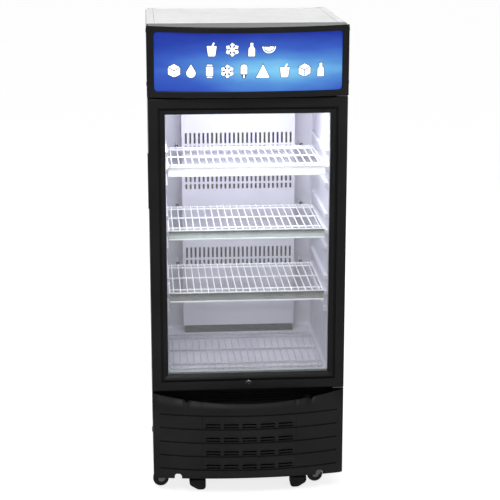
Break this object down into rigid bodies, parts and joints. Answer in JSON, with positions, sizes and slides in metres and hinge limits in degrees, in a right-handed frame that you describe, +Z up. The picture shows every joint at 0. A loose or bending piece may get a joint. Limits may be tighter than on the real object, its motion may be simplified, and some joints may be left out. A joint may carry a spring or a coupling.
{
  "type": "glass door merchandiser",
  "caption": "Upright glass-door drinks cooler on casters with a bowed lit header, wire shelves, a hinged framed door and a bowed lower grille over the cooling unit.",
  "frame": {"origin": "centre of the overall box, on the floor under the caster wheels", "axes": "+Z up, -Y out of the glass door, +X to the right of a person who faces the door"},
  "size_m": [0.606, 0.645, 1.476],
  "materials": {
    "case_paint": "satin",
    "foam": "matt",
    "liner": "satin",
    "trim_grey": "satin",
    "black_plastic": "semi-gloss",
    "black_metal": "satin",
    "cover_metal": "satin",
    "sign": "satin",
    "lamp": "satin",
    "steel": "satin",
    "chrome": "polished",
    "glass": "clear",
    "spacer": "satin",
    "seal": "matt",
    "wire_white": "satin",
    "clip_black": "matt",
    "fins": "satin",
    "can_black": "gloss",
    "fan_plastic": "matt",
    "copper": "satin",
    "wheel": "matt",
    "pan": "matt",
    "grommet": "matt"
  },
  "bodies": {
    "case": {"back_panel": "case_paint", "base_frame": "black_metal", "breaker_frame": "trim_grey", "caster_plates": "steel", "cell_lamp": "lamp", "cold_fan_motor": "clip_black", "compressor": "can_black", "compressor_grommets": "grommet", "condenser_coil": "fins", "condenser_fan_motor": "clip_black", "cover_screws": "black_metal", "door_hinges": "steel", "drain_pan": "pan", "duct_panel": "liner", "evaporator_coil": "fins", "floor_rack": "wire_white", "foam_core": "foam", "front_grille": "black_plastic", "header_frame": "black_plastic", "header_top_cover": "cover_metal", "inner_liner": "liner", "lamp_tray": "liner", "louvre_panel": "black_metal", "price_strips": "trim_grey", "rear_spacers": "black_plastic", "refrigerant_tubes": "copper", "shelf_bottom": "wire_white", "shelf_clips": "clip_black", "shelf_ledges_left": "liner", "shelf_ledges_right": "liner", "shelf_middle": "wire_white", "shelf_top": "wire_white", "side_panel_left": "case_paint", "side_panel_right": "case_paint", "sign_lamps": "lamp", "sign_panel": "sign", "top_panel": "case_paint"},
    "door": {"door_stile_left": "black_plastic", "door_stile_right": "black_plastic", "door_rail_top": "black_plastic", "door_rail_bottom": "black_plastic", "glass_outer": "glass", "glass_inner": "glass", "glass_spacer": "spacer", "door_gasket": "seal", "door_grip": "black_plastic"},
    "lock": {"lock_cylinder": "chrome"},
    "knob": {"thermostat_knob": "clip_black"},
    "cold_fan": {"cold_fan_blades": "fan_plastic"},
    "condenser_fan": {"condenser_fan_blades": "fan_plastic"},
    "foot_left": {"foot_left": "clip_black"},
    "foot_right": {"foot_right": "clip_black"},
    "fork_front_left": {"caster_fork_front_left": "steel"},
    "wheel_front_left": {"caster_wheel_front_left": "wheel"},
    "fork_front_right": {"caster_fork_front_right": "steel"},
    "wheel_front_right": {"caster_wheel_front_right": "wheel"},
    "fork_rear_left": {"caster_fork_rear_left": "steel"},
    "wheel_rear_left": {"caster_wheel_rear_left": "wheel"},
    "fork_rear_right": {"caster_fork_rear_right": "steel"},
    "wheel_rear_right": {"caster_wheel_rear_right": "wheel"}
  },
  "joints": [
    {"name": "door_swing", "type": "hinge", "parent": "case", "child": "door", "pos_m": [0.286, -0.2345, 0.8], "axis": [0, 0, 1], "range_deg": [0, 115]},
    {"name": "lock_turn", "type": "hinge", "parent": "door", "child": "lock", "pos_m": [0, -0.2525, 0.3645], "axis": [0, 1, 0], "range_deg": [0, 90]},
    {"name": "thermostat_turn", "type": "hinge", "parent": "case", "child": "knob", "pos_m": [0.19, -0.2095, 0.297], "axis": [0, 1, 0], "range_deg": [0, 270]},
    {"name": "condenser_fan_spin", "type": "hinge", "parent": "case", "child": "condenser_fan", "pos_m": [0, -0.0985, 0.179], "axis": [0, 1, 0], "continuous": true},
    {"name": "cold_fan_spin", "type": "hinge", "parent": "case", "child": "cold_fan", "pos_m": [0, 0.2397, 0.8725], "axis": [0, 1, 0], "continuous": true},
    {"name": "foot_left_screw", "type": "slide", "parent": "case", "child": "foot_left", "axis": [0, 0, 1], "range_m": [-0.012, 0.008]},
    {"name": "foot_right_screw", "type": "slide", "parent": "case", "child": "foot_right", "axis": [0, 0, 1], "range_m": [-0.012, 0.008]},
    {"name": "front_left_swivel", "type": "hinge", "parent": "case", "child": "fork_front_left", "pos_m": [-0.248, -0.1825, 0.066], "axis": [0, 0, 1], "continuous": true},
    {"name": "front_left_roll", "type": "hinge", "parent": "fork_front_left", "child": "wheel_front_left", "pos_m": [-0.277, -0.1825, 0.025], "axis": [0, 1, 0], "continuous": true},
    {"name": "front_right_swivel", "type": "hinge", "parent": "case", "child": "fork_front_right", "pos_m": [0.248, -0.1825, 0.066], "axis": [0, 0, 1], "continuous": true},
    {"name": "front_right_roll", "type": "hinge", "parent": "fork_front_right", "child": "wheel_front_right", "pos_m": [0.219, -0.1825, 0.025], "axis": [0, 1, 0], "continuous": true},
    {"name": "rear_left_swivel", "type": "hinge", "parent": "case", "child": "fork_rear_left", "pos_m": [-0.248, 0.2405, 0.066], "axis": [0, 0, 1], "continuous": true},
    {"name": "rear_left_roll", "type": "hinge", "parent": "fork_rear_left", "child": "wheel_rear_left", "pos_m": [-0.277, 0.2405, 0.025], "axis": [0, 1, 0], "continuous": true},
    {"name": "rear_right_swivel", "type": "hinge", "parent": "case", "child": "fork_rear_right", "pos_m": [0.248, 0.2405, 0.066], "axis": [0, 0, 1], "continuous": true},
    {"name": "rear_right_roll", "type": "hinge", "parent": "fork_rear_right", "child": "wheel_rear_right", "pos_m": [0.219, 0.2405, 0.025], "axis": [0, 1, 0], "continuous": true}
  ]
}
